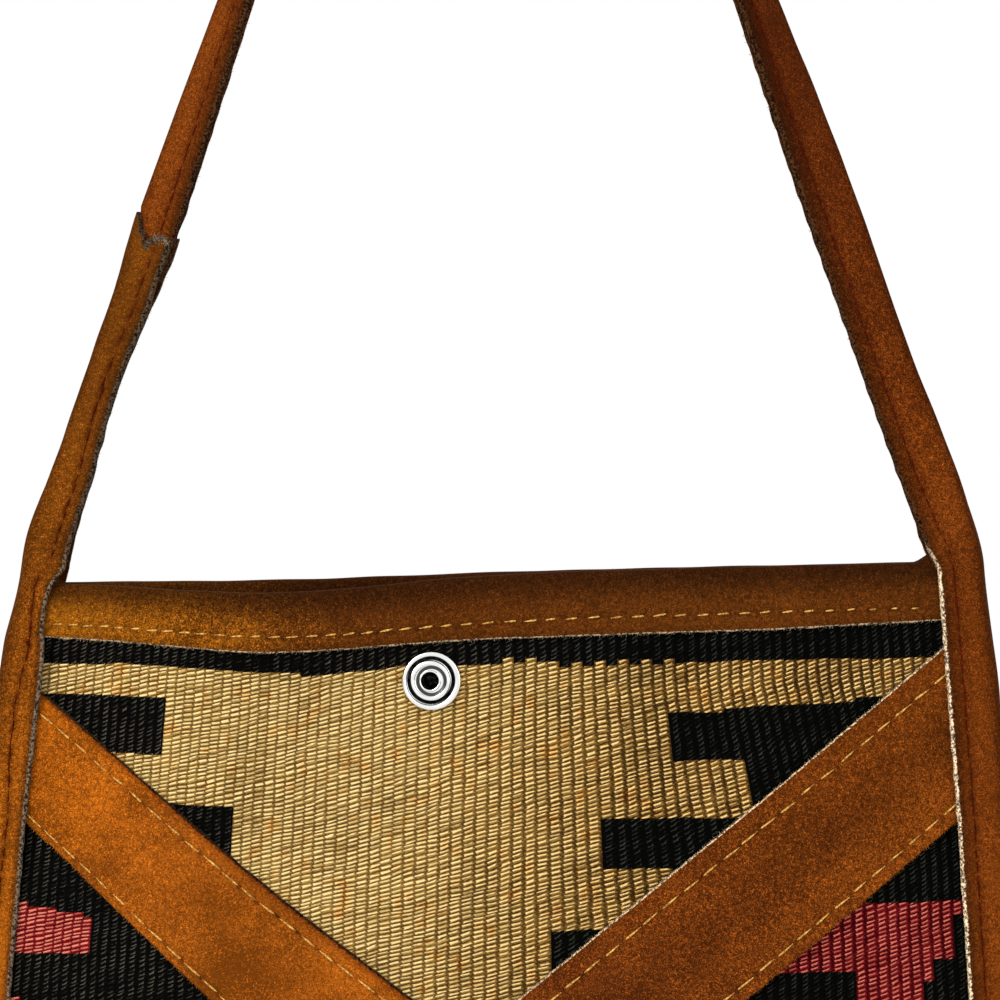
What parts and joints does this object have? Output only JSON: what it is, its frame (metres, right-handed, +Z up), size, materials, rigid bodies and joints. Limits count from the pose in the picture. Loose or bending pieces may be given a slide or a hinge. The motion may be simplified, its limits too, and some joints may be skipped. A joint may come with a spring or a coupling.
{
  "type": "kilim crossbody bag",
  "caption": "Flat kilim pouch with folded suede side bindings that run up into the strap, a suede V on the front and a snap at the mouth.",
  "frame": {"origin": "middle of the flat underside of the strap where it hangs over a peg", "axes": "+Z up, the bag hangs down along -Z; the front with the V faces -Y; +X is to the right seen from the front"},
  "size_m": [0.2744, 0.0227, 0.5388],
  "materials": {
    "kilim": "ribbed weft-faced wool, tan with black and red figures",
    "mouth_suede": "brown suede, matt",
    "left_chevron_suede": "golden brown suede, matt",
    "right_chevron_suede": "brown suede, matt",
    "strap_suede": "red-brown suede, matt",
    "left_strap_suede": "olive-brown suede, matt",
    "snap_plate": "bright nickel plate"
  },
  "bodies": {
    "root": {"kilim_body": "kilim", "front_mouth_binding": "mouth_suede", "back_mouth_binding": "mouth_suede", "left_chevron_strip": "left_chevron_suede", "right_chevron_strip": "right_chevron_suede", "main_strap_strip": "strap_suede", "lower_left_strap_strip": "left_strap_suede", "snap_eyelet": "snap_plate", "snap_stud": "snap_plate", "snap_socket": "snap_plate", "snap_cap": "snap_plate"}
  },
  "joints": []
}
